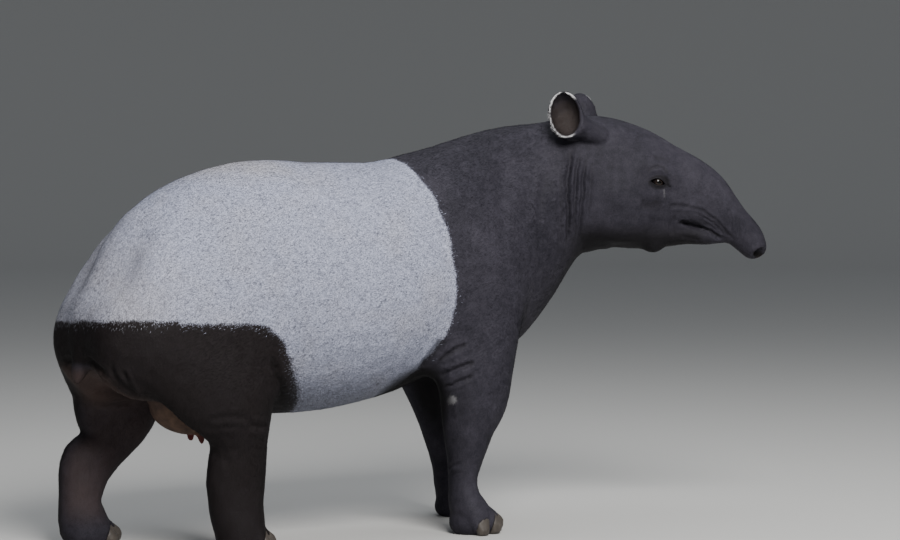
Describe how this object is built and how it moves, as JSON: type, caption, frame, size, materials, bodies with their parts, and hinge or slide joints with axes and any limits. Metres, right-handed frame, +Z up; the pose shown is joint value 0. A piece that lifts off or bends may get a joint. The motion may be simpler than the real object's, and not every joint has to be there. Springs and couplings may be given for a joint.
{
  "type": "malayan tapir",
  "caption": "Life-size Malayan tapir standing with its head turned to its right, a dark body with a pale saddle, short proboscis, round ears and hoofed toes.",
  "frame": {"origin": "middle of the animal's bounding box, on the floor under its feet", "axes": "+X towards the animal's head, +Y towards its left side, +Z up"},
  "size_m": [1.9136, 0.6438, 1.1773],
  "materials": {
    "dark_coat": "short dense black-brown hair with a faint sheen",
    "pale_coat": "short dense pale grey hair flecked with dark hairs",
    "skin": "bare pink-brown skin",
    "horn": "dark horn, worn matt",
    "eye": "wet, near black"
  },
  "bodies": {
    "root": {"torso": "pale_coat", "neck": "dark_coat", "head": "dark_coat", "proboscis": "dark_coat", "ear_right": "dark_coat", "ear_left": "dark_coat", "tail": "dark_coat", "foreleg_right": "dark_coat", "foreleg_left": "dark_coat", "hindleg_right": "dark_coat", "hindleg_left": "dark_coat", "foot_fore_right": "dark_coat", "foot_fore_left": "dark_coat", "foot_hind_right": "dark_coat", "foot_hind_left": "dark_coat", "udder": "skin", "hoof_fore_right_inner": "horn", "hoof_fore_right_middle": "horn", "hoof_fore_right_outer": "horn", "hoof_fore_right_small": "horn", "hoof_fore_left_inner": "horn", "hoof_fore_left_middle": "horn", "hoof_fore_left_outer": "horn", "hoof_fore_left_small": "horn", "hoof_hind_right_inner": "horn", "hoof_hind_right_middle": "horn", "hoof_hind_right_outer": "horn", "hoof_hind_left_inner": "horn", "hoof_hind_left_middle": "horn", "hoof_hind_left_outer": "horn", "eye_right": "eye", "eye_left": "eye"}
  },
  "joints": []
}
